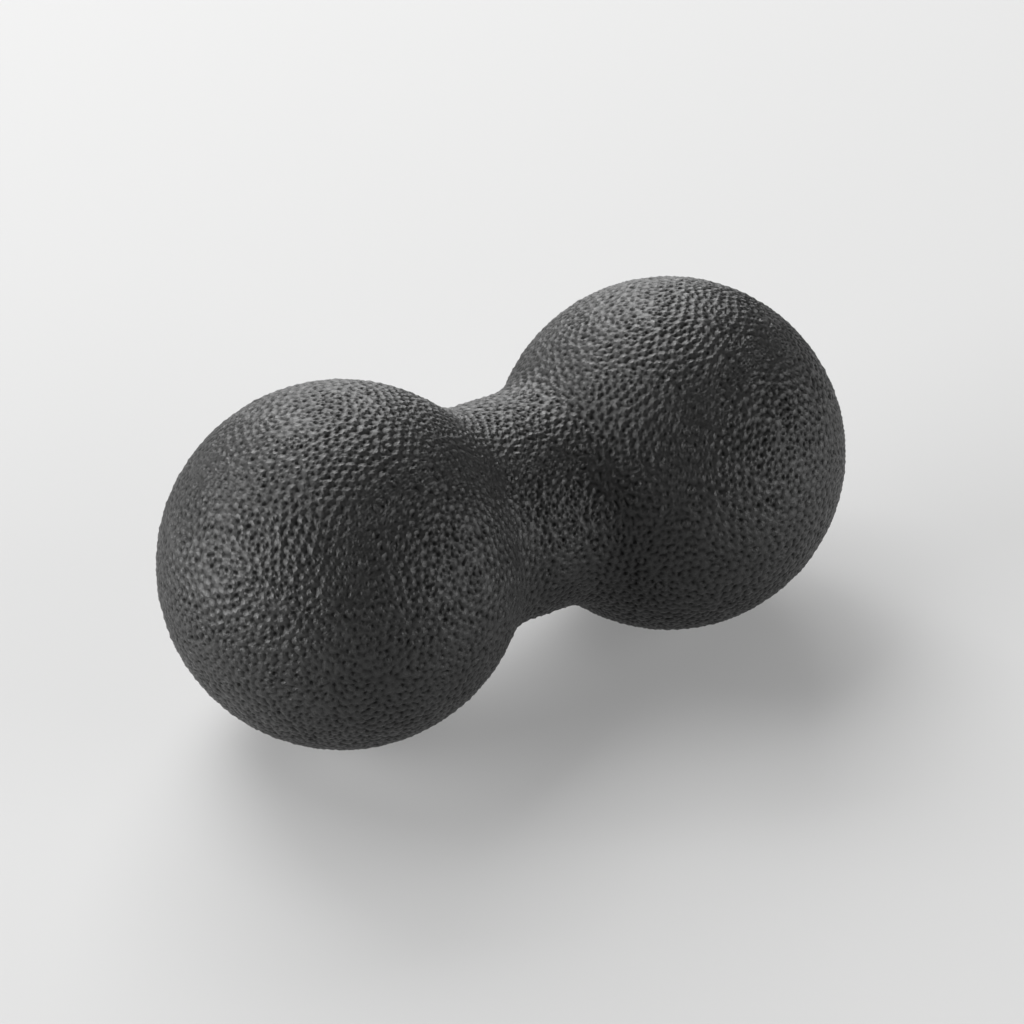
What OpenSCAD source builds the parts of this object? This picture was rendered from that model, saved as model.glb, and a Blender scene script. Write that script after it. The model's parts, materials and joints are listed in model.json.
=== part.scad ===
// Peanut massage ball: two foam balls joined by a short round neck, as one moulding.
// It lies on its side. +X runs along the long axis, +Z is up, and the origin is on
// the surface it lies on, under the middle of the neck.

/* [Balls] */
// Diameter of each ball
ball_d = 80; // [66:1:120]

/* [Neck] */
// Diameter of the straight middle of the neck
neck_d = 50; // [30:1:60]
// Length of the straight middle of the neck
neck_length = 9.7; // [4:0.1:40]
// Radius of the hollow that blends the neck into each ball
neck_blend_r = 14; // [8:0.5:20]

/* [Foam] */
// Thickness of the dense moulded skin over the foam
skin_t = 1.2; // [0.8:0.1:3]

/* [Hidden] */

$fn = 144;
ball_r = ball_d / 2;
neck_r = neck_d / 2;
skin_color = [0.10, 0.10, 0.10];
core_color = [0.17, 0.17, 0.17];

// Centre of each blend's arc, which touches the ball and the neck
blend_from_axis = neck_r + neck_blend_r;
blend_reach = sqrt(pow(ball_r + neck_blend_r, 2) - pow(blend_from_axis, 2));
blend_along = neck_length / 2;
half_spacing = blend_along + blend_reach;
half_length = half_spacing + ball_r;
// How far the blend's arc cuts into the ball's, so that the two cross at a clean line
bite = 0.001;

// Half of the outline, on one side of the long axis, moved in by inset.
// x is the distance from the axis and y runs along it. The square keeps that side.
module half_outline(inset) {
    intersection() {
        translate([0, -2 * half_length]) square([ball_d, 4 * half_length]);
        union() {
            for (side = [-1, 1])
                translate([0, side * half_spacing]) circle(r = ball_r - inset);
            neck_outline(inset);
        }
    }
}

// The neck and its two hollow blends, as far as the centres of the balls.
module neck_outline(inset) {
    difference() {
        polygon([
            [0, -half_spacing],
            [blend_from_axis, -blend_along],
            [blend_from_axis, blend_along],
            [0, half_spacing]
        ]);
        for (side = [-1, 1])
            translate([blend_from_axis, side * blend_along])
                circle(r = neck_blend_r + inset + bite);
        translate([neck_r - inset, -blend_along])
            square([blend_from_axis, 2 * blend_along]);
    }
}

// The whole moulding, moved in by inset. It lies on z = 0 when inset is 0.
module moulding(inset) {
    translate([0, 0, ball_r])
        rotate([0, 90, 0])
            rotate_extrude() half_outline(inset);
}

// The dense grained skin.
module outer_skin() {
    color(skin_color)
        difference() {
            moulding(0);
            moulding(skin_t);
        }
}

// The bead foam that fills the skin.
module foam_core() {
    color(core_color) moulding(skin_t);
}

outer_skin();
foam_core();
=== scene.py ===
"""A peanut massage ball: two foam balls on a short round neck, under one pebbled black skin.

The skin's grain is real geometry. Pebbles are seeded evenly over the outline of the CAD model,
joined by a Delaunay net, and each is built from a crown, a shoulder, and the saddles and pits
that it shares with its neighbours.
"""
import json
import math

import bpy
import numpy as np
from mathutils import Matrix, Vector, noise
from mathutils.geometry import delaunay_2d_cdt


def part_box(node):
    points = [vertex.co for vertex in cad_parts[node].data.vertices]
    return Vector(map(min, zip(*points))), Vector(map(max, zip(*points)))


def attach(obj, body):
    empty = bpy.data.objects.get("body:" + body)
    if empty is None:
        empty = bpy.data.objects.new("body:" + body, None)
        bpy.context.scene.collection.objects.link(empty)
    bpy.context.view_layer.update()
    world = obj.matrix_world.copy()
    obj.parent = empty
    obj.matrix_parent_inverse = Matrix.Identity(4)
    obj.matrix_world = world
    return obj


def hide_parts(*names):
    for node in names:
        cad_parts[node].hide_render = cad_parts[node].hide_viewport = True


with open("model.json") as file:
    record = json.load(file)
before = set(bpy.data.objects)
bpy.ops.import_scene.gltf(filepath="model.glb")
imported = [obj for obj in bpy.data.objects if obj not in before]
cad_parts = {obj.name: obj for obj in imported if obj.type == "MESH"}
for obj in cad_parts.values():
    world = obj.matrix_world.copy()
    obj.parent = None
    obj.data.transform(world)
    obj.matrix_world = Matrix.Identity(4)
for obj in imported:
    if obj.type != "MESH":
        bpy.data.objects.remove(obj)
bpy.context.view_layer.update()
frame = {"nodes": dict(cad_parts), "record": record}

MM = 0.001

# ---------------------------------------------------------------------------
# Sizes of the ball, all from the frame
# ---------------------------------------------------------------------------
LOW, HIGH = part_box("outer_skin")
CORE_LOW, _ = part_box("foam_core")
MOUNTS = {m["name"]: m for m in frame["record"]["mounts"]}
NECK = MOUNTS["neck_groove"]["dims"]

BALL_R = (HIGH[2] - LOW[2]) / 2
HALF_LENGTH = (HIGH[0] - LOW[0]) / 2
HALF_SPACING = HALF_LENGTH - BALL_R
AXIS_Z = (HIGH[2] + LOW[2]) / 2
SKIN_T = CORE_LOW[2] - LOW[2]
NECK_R = NECK["r_mm"] * MM
NECK_HALF = NECK["length_mm"] * MM / 2
# The hollow blend touches the neck at its end and the ball: that fixes its radius.
BLEND_R = ((HALF_SPACING - NECK_HALF) ** 2 - BALL_R**2 + NECK_R**2) / (2 * (BALL_R - NECK_R))
BLEND_Y = NECK_R + BLEND_R
BLEND_REACH = HALF_SPACING - NECK_HALF
TOUCH_X = HALF_SPACING - BLEND_REACH * BALL_R / (BALL_R + BLEND_R)
TOUCH_R = BLEND_Y * BALL_R / (BALL_R + BLEND_R)

# ---------------------------------------------------------------------------
# Grain
# ---------------------------------------------------------------------------
SEED = 7
PEBBLE_GAP = 1.78 * MM  # closest that two pebbles' crowns may be seeded
GAP_WANDER = 0.07  # how much that gap varies from place to place
GAP_PATCH = 14 * MM  # size of the patches in which it varies
NECK_CROWDING = 1.28  # pebbles are this much closer along the axis in the neck
NECK_ZONE = 16 * MM  # half-length of the stretch where they crowd
SEED_TRIES = 26  # tries for each pebble that fits
SETTLE_STEPS = 8  # rounds of evening out the pebbles
PIT_DEPTH = 0.50 * MM  # deep pits, about one to a pebble, where three pebbles meet
PIT_WANDER = 0.16  # how unevenly deep the pits are
SHALLOW_SHARE = 0.75  # depth of the pits between the deep ones, as a share of theirs
SADDLE_SHARE = 0.52  # depth of the valley between two pebbles, as a share of its two pits'
SADDLE_WANDER = 0.10  # how unevenly deep the valleys are
SHOULDER_SHARE = 0.38  # depth of a pebble's shoulder, as a share of the pit's beyond it
SHOULDER_AT = 0.50  # how far out the shoulder lies, from the crown to the pits
SHOULDER_FOLLOW = 0.8  # how much of its crown's height a shoulder takes over
CROWN_WANDER = 0.045 * MM  # how unevenly high the crowns are
FLOW_PATCH = 11 * MM  # size of the patches in which the grain runs one way
FLOW_TURN = 2.2 * math.pi  # how far the run of the grain turns from patch to patch
FLOW_STRENGTH = 0.18  # how much shallower the valleys are that the run crosses, and deeper beside it
FOLD_STRENGTH = 0.16  # more of that where the neck blends into the balls, round the neck
FOLD_AT = 11.5 * MM  # where that is, from the middle of the neck
FOLD_REACH = 5 * MM  # and how far it fades out either way
WAVE_HEIGHT = 0.05 * MM  # slow waviness of the foam under the grain
WAVE_SIZE = 9 * MM
INNER_RINGS = 52  # rings of the skin's inner wall: close enough that it keeps clear of the pits
INNER_SIDES = 36  # points round each of those rings
LINE_SAMPLES = 2000  # points along the outline that the rings are measured out on


def unit(v):
    """Rows of v, each made one long."""
    return v / np.maximum(np.linalg.norm(v, axis=1, keepdims=True), 1e-12)


def on_outline(points, inset=0.0):
    """The nearest points of the ball's surface, moved in by inset, and the outward normals there."""
    x = points[:, 0]
    side = np.where(x < 0, -1.0, 1.0)
    ax = np.abs(x)
    radial = points[:, 1:] - [0.0, AXIS_Z]
    rho = np.maximum(np.linalg.norm(radial, axis=1), 1e-9)
    out = radial / rho[:, None]
    # in the half plane (along, away): a ball, a blend or the straight neck is nearest
    to_ball = np.stack([ax - HALF_SPACING, rho], 1)
    from_blend = np.stack([ax - NECK_HALF, rho - BLEND_Y], 1)
    on_ball = to_ball[:, 0] * BLEND_Y + to_ball[:, 1] * BLEND_REACH > 0
    on_neck = (ax < NECK_HALF) & ~on_ball
    n = np.where(on_ball[:, None], unit(to_ball), -unit(from_blend))
    n[on_neck] = [0.0, 1.0]
    at = np.where(
        on_ball[:, None],
        [HALF_SPACING, 0.0] + n * (BALL_R - inset),
        [NECK_HALF, BLEND_Y] - n * (BLEND_R + inset),
    )
    at[on_neck] = np.stack([ax[on_neck], np.full(on_neck.sum(), NECK_R - inset)], 1)
    place = np.column_stack([side * at[:, 0], out * at[:, 1:]])
    place[:, 2] += AXIS_Z
    normal = np.column_stack([side * n[:, 0], out * n[:, 1:]])
    return place, normal


def to_plane(points):
    """The surface mapped onto a plane with all angles kept, the -X end going to infinity."""
    ax = np.abs(points[:, 0])
    radial = points[:, 1:] - [0.0, AXIS_Z]
    rho = np.maximum(np.linalg.norm(radial, axis=1), 1e-12)
    root = math.sqrt(BLEND_Y**2 - BLEND_R**2)
    lean = math.sqrt((BLEND_Y + BLEND_R) / (BLEND_Y - BLEND_R))

    def along_blend(turn):
        return NECK_HALF / NECK_R + 2 * BLEND_R / root * np.arctan(lean * np.tan(turn / 2))

    far = along_blend(math.atan2(BLEND_REACH, BLEND_Y))
    touch_half = math.tan(math.atan2(TOUCH_R, TOUCH_X - HALF_SPACING) / 2)
    half = np.tan(np.arctan2(rho, ax - HALF_SPACING) / 2)
    travel = np.where(
        ax > TOUCH_X,
        far + np.log(touch_half / np.maximum(half, 1e-12)),
        np.where(ax > NECK_HALF, along_blend(np.arctan2(ax - NECK_HALF, BLEND_Y - rho)), ax / NECK_R),
    )
    travel = np.where(points[:, 0] < 0, -travel, travel)
    return radial / rho[:, None] * np.exp(-travel)[:, None]


def crowded(points):
    """Points with the neck stretched lengthwise, so that even spacing there is finer on the ball."""
    extra = (NECK_CROWDING - 1) * NECK_ZONE * np.tanh(points[:, 0] / NECK_ZONE)
    return points + np.column_stack([extra, np.zeros((len(points), 2))])


def random_surface_points(rng, count):
    """Points spread over the surface by area."""
    pick = rng.random(count * 2)
    x = (pick * 2 - 1) * HALF_LENGTH
    turn = rng.random(count * 2) * 2 * math.pi
    # a ball has the same area in every slice of its length; the neck and blends have less
    ax = np.abs(x)
    rho = np.sqrt(np.maximum(BALL_R**2 - (ax - HALF_SPACING) ** 2, 0))
    into_blend = np.clip(ax - NECK_HALF, 0, TOUCH_X - NECK_HALF)
    dip = np.sqrt(BLEND_R**2 - into_blend**2)
    rho = np.where(ax < TOUCH_X, BLEND_Y - dip, rho)
    slope = into_blend / dip
    area = np.where(ax < TOUCH_X, rho * np.sqrt(1 + slope**2), BALL_R)
    keep = rng.random(count * 2) * BALL_R < area
    points = np.column_stack([x, rho * np.cos(turn), rho * np.sin(turn) + AXIS_Z])[keep]
    return points[:count]


def seed_pebbles():
    """Crown places with a least gap between them. The last is the -X end of the ball."""
    rng = np.random.default_rng(SEED)
    area = 4 * math.pi * BALL_R * HALF_LENGTH
    tries = int(SEED_TRIES * area / PEBBLE_GAP**2)
    points, _ = on_outline(random_surface_points(rng, tries))
    points[0] = [-HALF_LENGTH, 0.0, AXIS_Z]
    spread = crowded(points)
    cell = PEBBLE_GAP * (1 + GAP_WANDER)
    cells = np.floor(spread / cell).astype(int)
    grid, kept = {}, []
    near = [(i, j, k) for i in (-1, 0, 1) for j in (-1, 0, 1) for k in (-1, 0, 1)]
    for n in range(len(points)):
        p = spread[n]
        gap = PEBBLE_GAP * (1 + GAP_WANDER * noise.noise(Vector(p / GAP_PATCH)))
        a, b, c = cells[n]
        clear = True
        for i, j, k in near:
            for q in grid.get((a + i, b + j, c + k), ()):
                if (p[0] - q[0]) ** 2 + (p[1] - q[1]) ** 2 + (p[2] - q[2]) ** 2 < gap * gap:
                    clear = False
                    break
            if not clear:
                break
        if clear:
            grid.setdefault((a, b, c), []).append(tuple(p))
            kept.append(n)
    return points[kept[1:] + kept[:1]]


def delaunay(points):
    """Triangles between neighbouring pebbles, as rows of three indices, facing out.

    The last point is the -X end. It joins every edge on the rim of the plane.
    """
    plane = [Vector(p) for p in to_plane(points[:-1])]
    _, _, tris, origin, _, _ = delaunay_2d_cdt(plane, [], [], 0, 1e-9)
    origin = np.array([o[0] for o in origin])
    tris = origin[np.array(tris)]
    n = len(points)
    half = np.concatenate([tris[:, [0, 1]], tris[:, [1, 2]], tris[:, [2, 0]]])
    rim = half[~np.isin(half[:, 0] * n + half[:, 1], half[:, 1] * n + half[:, 0])]
    cap = np.column_stack([rim[:, ::-1], np.full(len(rim), n - 1)])
    tris = np.concatenate([tris, cap])
    a, b, c = (points[tris[:, k]] for k in range(3))
    _, normal = on_outline((a + b + c) / 3)
    inward = np.einsum("ij,ij->i", np.cross(b - a, c - a), normal) < 0
    tris[inward] = tris[inward][:, ::-1]
    return tris


def settle(points, steps):
    """Each crown moves towards the middle of the triangles round it, which evens out the pebbles."""
    for _ in range(steps):
        tris = delaunay(points)
        a, b, c = (points[tris[:, k]] for k in range(3))
        size = np.linalg.norm(np.cross(b - a, c - a), axis=1)
        middle = (a + b + c) / 3 * size[:, None]
        total, weight = np.zeros_like(points), np.zeros(len(points))
        for k in range(3):
            np.add.at(total, tris[:, k], middle)
            np.add.at(weight, tris[:, k], size)
        points[:-1] = (total / weight[:, None])[:-1]
        points, _ = on_outline(points)
    return points


def smooth_noise(points, size, offset=0.0):
    """Noise between about -1 and 1 that changes over size."""
    shift = Vector((offset, -offset, 2 * offset))
    return np.array([noise.noise(Vector(p / size) + shift) for p in points])


def flow(points, normal):
    """The way the grain runs at each point: round the neck there, and in slow swirls on the balls."""
    away = points - [0.0, 0.0, AXIS_Z]
    away[:, 0] = 0
    around = unit(np.cross([1.0, 0.0, 0.0], away))
    along = np.cross(around, normal)
    off_fold = (np.abs(points[:, 0]) - FOLD_AT) / FOLD_REACH
    fold = np.exp(-(off_fold**2))
    turn = FLOW_TURN * smooth_noise(points, FLOW_PATCH * 2, 3.1) * (1 - fold)
    way = around * np.cos(turn)[:, None] + along * np.sin(turn)[:, None]
    return way, FLOW_STRENGTH + FOLD_STRENGTH * fold


def grain_mesh():
    """Vertices and triangles of the pebbled outer surface."""
    rng = np.random.default_rng(SEED + 1)
    crowns = settle(seed_pebbles(), SETTLE_STEPS)
    tris = delaunay(crowns)
    n, m = len(crowns), len(tris)
    corners = crowns[tris].mean(axis=1)

    # each edge of the net, with the triangles on its left and right
    half = np.concatenate([tris[:, [0, 1]], tris[:, [1, 2]], tris[:, [2, 0]]])
    owner = np.tile(np.arange(m), 3)
    key = half[:, 0] * n + half[:, 1]
    order = np.argsort(key)
    twin = order[np.searchsorted(key[order], half[:, 1] * n + half[:, 0])]
    first = np.arange(3 * m) < twin
    e_from, e_to = half[first].T
    e_left, e_right = owner[first], owner[twin[first]]
    saddles = (crowns[e_from] + crowns[e_to]) * 0.3 + (corners[e_left] + corners[e_right]) * 0.2
    # one shoulder for each crown and triangle
    s_crown, s_tri = tris.reshape(-1), np.repeat(np.arange(m), 3)
    shoulders = crowns[s_crown] + SHOULDER_AT * (corners[s_tri] - crowns[s_crown])

    # depths: no two deep pits side by side
    beside = [[] for _ in range(m)]
    for a, b in zip(e_left, e_right):
        beside[a].append(b)
        beside[b].append(a)
    deep = np.zeros(m, bool)
    for t in rng.permutation(m):
        deep[t] = not deep[beside[t]].any()
    pit = PIT_DEPTH * np.where(deep, 1.0, SHALLOW_SHARE)
    pit = pit * np.clip(1 + PIT_WANDER * rng.standard_normal(m), 0.4, 1.6)
    _, normal = on_outline(saddles)
    way, strength = flow(saddles, normal)
    line = unit(crowns[e_to] - crowns[e_from])
    lined_up = 2 * np.einsum("ij,ij->i", line, way) ** 2 - 1
    share = SADDLE_SHARE - strength * lined_up + SADDLE_WANDER * rng.standard_normal(len(saddles))
    saddle = np.clip(share, 0.1, 1.05) * (pit[e_left] + pit[e_right]) / 2
    crown = -CROWN_WANDER * rng.standard_normal(n)
    shoulder = SHOULDER_SHARE * pit[s_tri] + SHOULDER_FOLLOW * crown[s_crown]

    flat = np.concatenate([crowns, corners, saddles, shoulders])
    depth = np.concatenate([crown, pit, saddle, shoulder])
    flat, normal = on_outline(flat)
    depth = depth + WAVE_HEIGHT * (0.5 + 0.5 * smooth_noise(flat, WAVE_SIZE, 9.7))
    verts = flat - normal * depth[:, None]

    # triangles: a fan round each crown, and from its shoulders out to the pits and saddles
    corner0, saddle0, shoulder0 = n, n + m, n + m + len(saddles)
    place = np.full((m, 3), 0)
    place[s_tri, np.tile(np.arange(3), m)] = shoulder0 + np.arange(3 * m)

    def shoulder_of(crown_index, tri_index):
        hit = tris[tri_index] == crown_index[:, None]
        return place[tri_index][hit]

    mid = saddle0 + np.arange(len(saddles))
    left, right = corner0 + e_left, corner0 + e_right
    faces = []
    for c, l_tri, r_tri, l_pit, r_pit in (
        (e_from, e_left, e_right, left, right),
        (e_to, e_right, e_left, right, left),
    ):
        sl, sr = shoulder_of(c, l_tri), shoulder_of(c, r_tri)
        faces += [(c, sr, sl), (sl, mid, l_pit), (sl, sr, mid), (sr, r_pit, mid)]
    faces = np.concatenate([np.stack(f, 1) for f in faces])
    return verts, faces, depth


def inner_wall():
    """The smooth inside of the skin, facing the core, in rings spaced evenly along the outline."""
    x = np.sin(np.linspace(-0.5, 0.5, LINE_SAMPLES) * math.pi) * HALF_LENGTH * 0.999
    rho = np.interp(np.abs(x), [0, HALF_SPACING, HALF_LENGTH], [NECK_R, BALL_R, BALL_R / 5])
    line, _ = on_outline(np.column_stack([x, np.zeros(len(x)), rho + AXIS_Z]), SKIN_T)
    travel = np.append(0, np.cumsum(np.linalg.norm(np.diff(line, axis=0), axis=1)))
    stops = np.linspace(0, travel[-1], INNER_RINGS)
    ring_x = np.repeat(np.interp(stops, travel, line[:, 0]), INNER_SIDES)
    ring_r = np.repeat(np.interp(stops, travel, line[:, 2] - AXIS_Z), INNER_SIDES)
    turn = np.tile(np.linspace(0, 2 * math.pi, INNER_SIDES, endpoint=False), INNER_RINGS)
    pts = np.column_stack([ring_x, ring_r * np.cos(turn), AXIS_Z + ring_r * np.sin(turn)])
    inner_end = HALF_LENGTH - SKIN_T
    pts = np.concatenate([pts, [[-inner_end, 0, AXIS_Z], [inner_end, 0, AXIS_Z]]])
    tris = []
    for r in range(INNER_RINGS - 1):
        for s in range(INNER_SIDES):
            a, b = r * INNER_SIDES + s, r * INNER_SIDES + (s + 1) % INNER_SIDES
            tris += [(a, b + INNER_SIDES, b), (a, a + INNER_SIDES, b + INNER_SIDES)]
    low, high = len(pts) - 2, len(pts) - 1
    last = (INNER_RINGS - 1) * INNER_SIDES
    for s in range(INNER_SIDES):
        t = (s + 1) % INNER_SIDES
        tris += [(low, s, t), (high, last + t, last + s)]
    return pts, np.array(tris)


def make_skin():
    """The one visual piece of the skin: the pebbled outside and the smooth inside."""
    verts, faces, depth = grain_mesh()
    inside, inside_faces = inner_wall()
    all_verts = np.concatenate([verts, inside])
    all_faces = np.concatenate([faces, inside_faces + len(verts)])
    mesh = bpy.data.meshes.new("pebbled_skin")
    mesh.from_pydata(all_verts.tolist(), [], all_faces.tolist())
    mesh.shade_flat()
    hollow = mesh.attributes.new("hollow", "FLOAT", "POINT")
    deep = np.concatenate([depth / PIT_DEPTH, np.zeros(len(inside))])
    hollow.data.foreach_set("value", deep.astype(np.float32))
    obj = bpy.data.objects.new("pebbled_skin", mesh)
    bpy.context.collection.objects.link(obj)
    print("pebbled_skin", len(all_verts), "vertices", len(all_faces), "triangles")
    return obj


# ---------------------------------------------------------------------------
# Materials
# ---------------------------------------------------------------------------
def nodes_of(name):
    """A new material, its nodes and links, and its shader."""
    mat = bpy.data.materials.new(name)
    mat.use_nodes = True
    tree = mat.node_tree
    return mat, tree.nodes, tree.links, tree.nodes["Principled BSDF"]


def remapped(nodes, links, source, from_range, to_range):
    """A value carried over from one range to another."""
    node = nodes.new("ShaderNodeMapRange")
    for name, value in zip(("From Min", "From Max", "To Min", "To Max"), (*from_range, *to_range)):
        node.inputs[name].default_value = value
    links.new(source, node.inputs["Value"])
    return node.outputs["Result"]


def toned(nodes, links, source, dark, dark_at, pale, pale_at):
    """Greys from dark to pale as the source grows."""
    ramp = nodes.new("ShaderNodeValToRGB")
    for end, colour, at in zip(ramp.color_ramp.elements, (dark, pale), (dark_at, pale_at)):
        end.position = at
        end.color = (*colour, 1)
    links.new(source, ramp.inputs["Fac"])
    return ramp.outputs["Color"]


def bumped(nodes, links, shader, source, strength, distance):
    """A fine relief under the geometry's own."""
    bump = nodes.new("ShaderNodeBump")
    bump.inputs["Strength"].default_value = strength
    bump.inputs["Distance"].default_value = distance
    links.new(source, bump.inputs["Height"])
    links.new(bump.outputs["Normal"], shader.inputs["Normal"])


def skin_material():
    """Black satin foam, with painted shade in the pits: darker colour and weaker reflection there,
    and rougher.
    """
    mat, nodes, links, shader = nodes_of("black_foam_skin")
    place = nodes.new("ShaderNodeTexCoord")
    # colour: a little paler in patches, with painted shade darkening the pits
    patch = nodes.new("ShaderNodeTexNoise")
    patch.inputs["Scale"].default_value = 90
    patch.inputs["Detail"].default_value = 4
    links.new(place.outputs["Object"], patch.inputs["Vector"])
    dark, pale = (0.013, 0.013, 0.0128), (0.018, 0.018, 0.0176)
    tone = toned(nodes, links, patch.outputs["Fac"], dark, 0.3, pale, 0.72)
    hollow = nodes.new("ShaderNodeAttribute")
    hollow.attribute_name = "hollow"
    # painted shade: the deeper a point lies, the darker its base colour
    shade = remapped(nodes, links, hollow.outputs["Fac"], (0.3, 1.0), (1.0, 0.6))
    painted_pit_shade = nodes.new("ShaderNodeMix")
    painted_pit_shade.data_type = "RGBA"
    painted_pit_shade.blend_type = "MULTIPLY"
    painted_pit_shade.inputs["Factor"].default_value = 1.0
    links.new(tone, painted_pit_shade.inputs["A"])
    links.new(shade, painted_pit_shade.inputs["B"])
    links.new(painted_pit_shade.outputs["Result"], shader.inputs["Base Color"])
    # gloss: satin crowns; painted shade turns the reflection down in the pits, which are also rougher
    pit_shaded_specular = remapped(nodes, links, hollow.outputs["Fac"], (0.3, 1.0), (0.48, 0.10))
    links.new(pit_shaded_specular, shader.inputs["Specular IOR Level"])
    gloss = remapped(nodes, links, hollow.outputs["Fac"], (0.0, 1.0), (0.35, 0.60))
    links.new(gloss, shader.inputs["Roughness"])
    # a fine tooth on the pebbles
    tooth = nodes.new("ShaderNodeTexNoise")
    tooth.inputs["Scale"].default_value = 2600
    tooth.inputs["Detail"].default_value = 3
    links.new(place.outputs["Object"], tooth.inputs["Vector"])
    bumped(nodes, links, shader, tooth.outputs["Fac"], 0.6, 0.15 * MM)
    return mat


def core_material():
    """Dark grey bead foam, with the beads' edges showing."""
    mat, nodes, links, shader = nodes_of("black_bead_foam")
    place = nodes.new("ShaderNodeTexCoord")
    beads = nodes.new("ShaderNodeTexVoronoi")
    beads.inputs["Scale"].default_value = 320
    beads.feature = "DISTANCE_TO_EDGE"
    links.new(place.outputs["Object"], beads.inputs["Vector"])
    dark, pale = (0.03, 0.03, 0.03), (0.07, 0.07, 0.07)
    tone = toned(nodes, links, beads.outputs["Distance"], dark, 0.0, pale, 0.2)
    links.new(tone, shader.inputs["Base Color"])
    shader.inputs["Roughness"].default_value = 0.8
    bumped(nodes, links, shader, beads.outputs["Distance"], 0.5, 0.2 * MM)
    return mat


def floor_material():
    """A plain pale table."""
    mat, _, _, shader = nodes_of("pale_floor")
    shader.inputs["Base Color"].default_value = (0.36, 0.36, 0.359, 1)
    # a lit table: it keeps the cast shadow soft and the underside readable
    shader.inputs["Emission Color"].default_value = (1, 1, 1, 1)
    shader.inputs["Emission Strength"].default_value = 0.22
    shader.inputs["Roughness"].default_value = 0.9
    shader.inputs["Specular IOR Level"].default_value = 0.1
    return mat


# ---------------------------------------------------------------------------
# Studio
# ---------------------------------------------------------------------------
MIDDLE = Vector((0.0, 0.0, AXIS_Z))
LENS_MM = 123.0
SENSOR_MM = 36.0
CAMERA_AZIMUTH = -31.8
CAMERA_ELEVATION = 33.5
CAMERA_DISTANCE = 0.771
AIM_RIGHT = 0.64 * MM
AIM_UP = -1.01 * MM
FLOOR_HALF = 1.9  # the floor ends inside the reach of the lights
SKY_STRENGTH = 0.8
SOFTBOX_DISTANCE = 2.0
SOFTBOX_HEIGHT = 1.0
# each softbox: its name, azimuth, elevation, width and watts
SOFTBOXES = (
    ("left_light", 256, 14, 1.8, 60),
    ("right_light", 45, 14, 1.8, 25),
    ("back_light", 165, 38, 1.7, 41),
    ("low_back_light", 150, 14, 1.0, 7),
    ("top_light", 203, 62, 1.6, 24.5),
)


def toward(azimuth, elevation):
    """The direction from the ball to something at that azimuth and elevation, in degrees."""
    a, e = math.radians(azimuth), math.radians(elevation)
    return Vector((math.sin(a) * math.cos(e), -math.cos(a) * math.cos(e), math.sin(e)))


def make_camera():
    """The camera at the angle of the photo."""
    data = bpy.data.cameras.new("camera")
    data.lens = LENS_MM
    data.sensor_width = SENSOR_MM
    data.clip_start = 0.01
    cam = bpy.data.objects.new("camera", data)
    bpy.context.collection.objects.link(cam)
    back = toward(CAMERA_AZIMUTH, CAMERA_ELEVATION)
    turn = back.to_track_quat("Z", "Y")
    right, up = turn @ Vector((1, 0, 0)), turn @ Vector((0, 1, 0))
    cam.rotation_euler = turn.to_euler()
    cam.location = MIDDLE + back * CAMERA_DISTANCE + right * AIM_RIGHT + up * AIM_UP
    bpy.context.scene.camera = cam


def softbox(name, azimuth, elevation, width, watts):
    """A soft rectangular light that faces the ball."""
    data = bpy.data.lights.new(name, "AREA")
    data.shape = "RECTANGLE"
    data.size, data.size_y = width, SOFTBOX_HEIGHT
    data.energy = watts
    lamp = bpy.data.objects.new(name, data)
    bpy.context.collection.objects.link(lamp)
    away = toward(azimuth, elevation)
    lamp.location = MIDDLE + away * SOFTBOX_DISTANCE
    lamp.rotation_euler = away.to_track_quat("Z", "Y").to_euler()


def make_floor():
    """The table under the ball, a square."""
    mesh = bpy.data.meshes.new("floor")
    s = FLOOR_HALF
    mesh.from_pydata([(-s, -s, 0), (s, -s, 0), (s, s, 0), (-s, s, 0)], [], [(0, 1, 2, 3)])
    floor = bpy.data.objects.new("floor", mesh)
    floor.location.z = LOW[2]
    bpy.context.collection.objects.link(floor)
    mesh.materials.append(floor_material())


def make_world():
    """A pale backdrop only: the softboxes and the table do all the lighting."""
    world = bpy.data.worlds.new("studio")
    bpy.context.scene.world = world
    world.use_nodes = True
    sky = world.node_tree.nodes["Background"]
    sky.inputs["Color"].default_value = (1, 1, 1, 1)
    sky.inputs["Strength"].default_value = SKY_STRENGTH
    world.cycles_visibility.diffuse = False
    world.cycles_visibility.glossy = False


make_camera()
make_world()
make_floor()
for box in SOFTBOXES:
    softbox(*box)
bpy.context.scene.view_settings.view_transform = "Standard"

skin = make_skin()
skin.data.materials.append(skin_material())
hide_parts("outer_skin")
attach(skin, "root")

core = frame["nodes"]["foam_core"]
core.data.materials.clear()
core.data.materials.append(core_material())
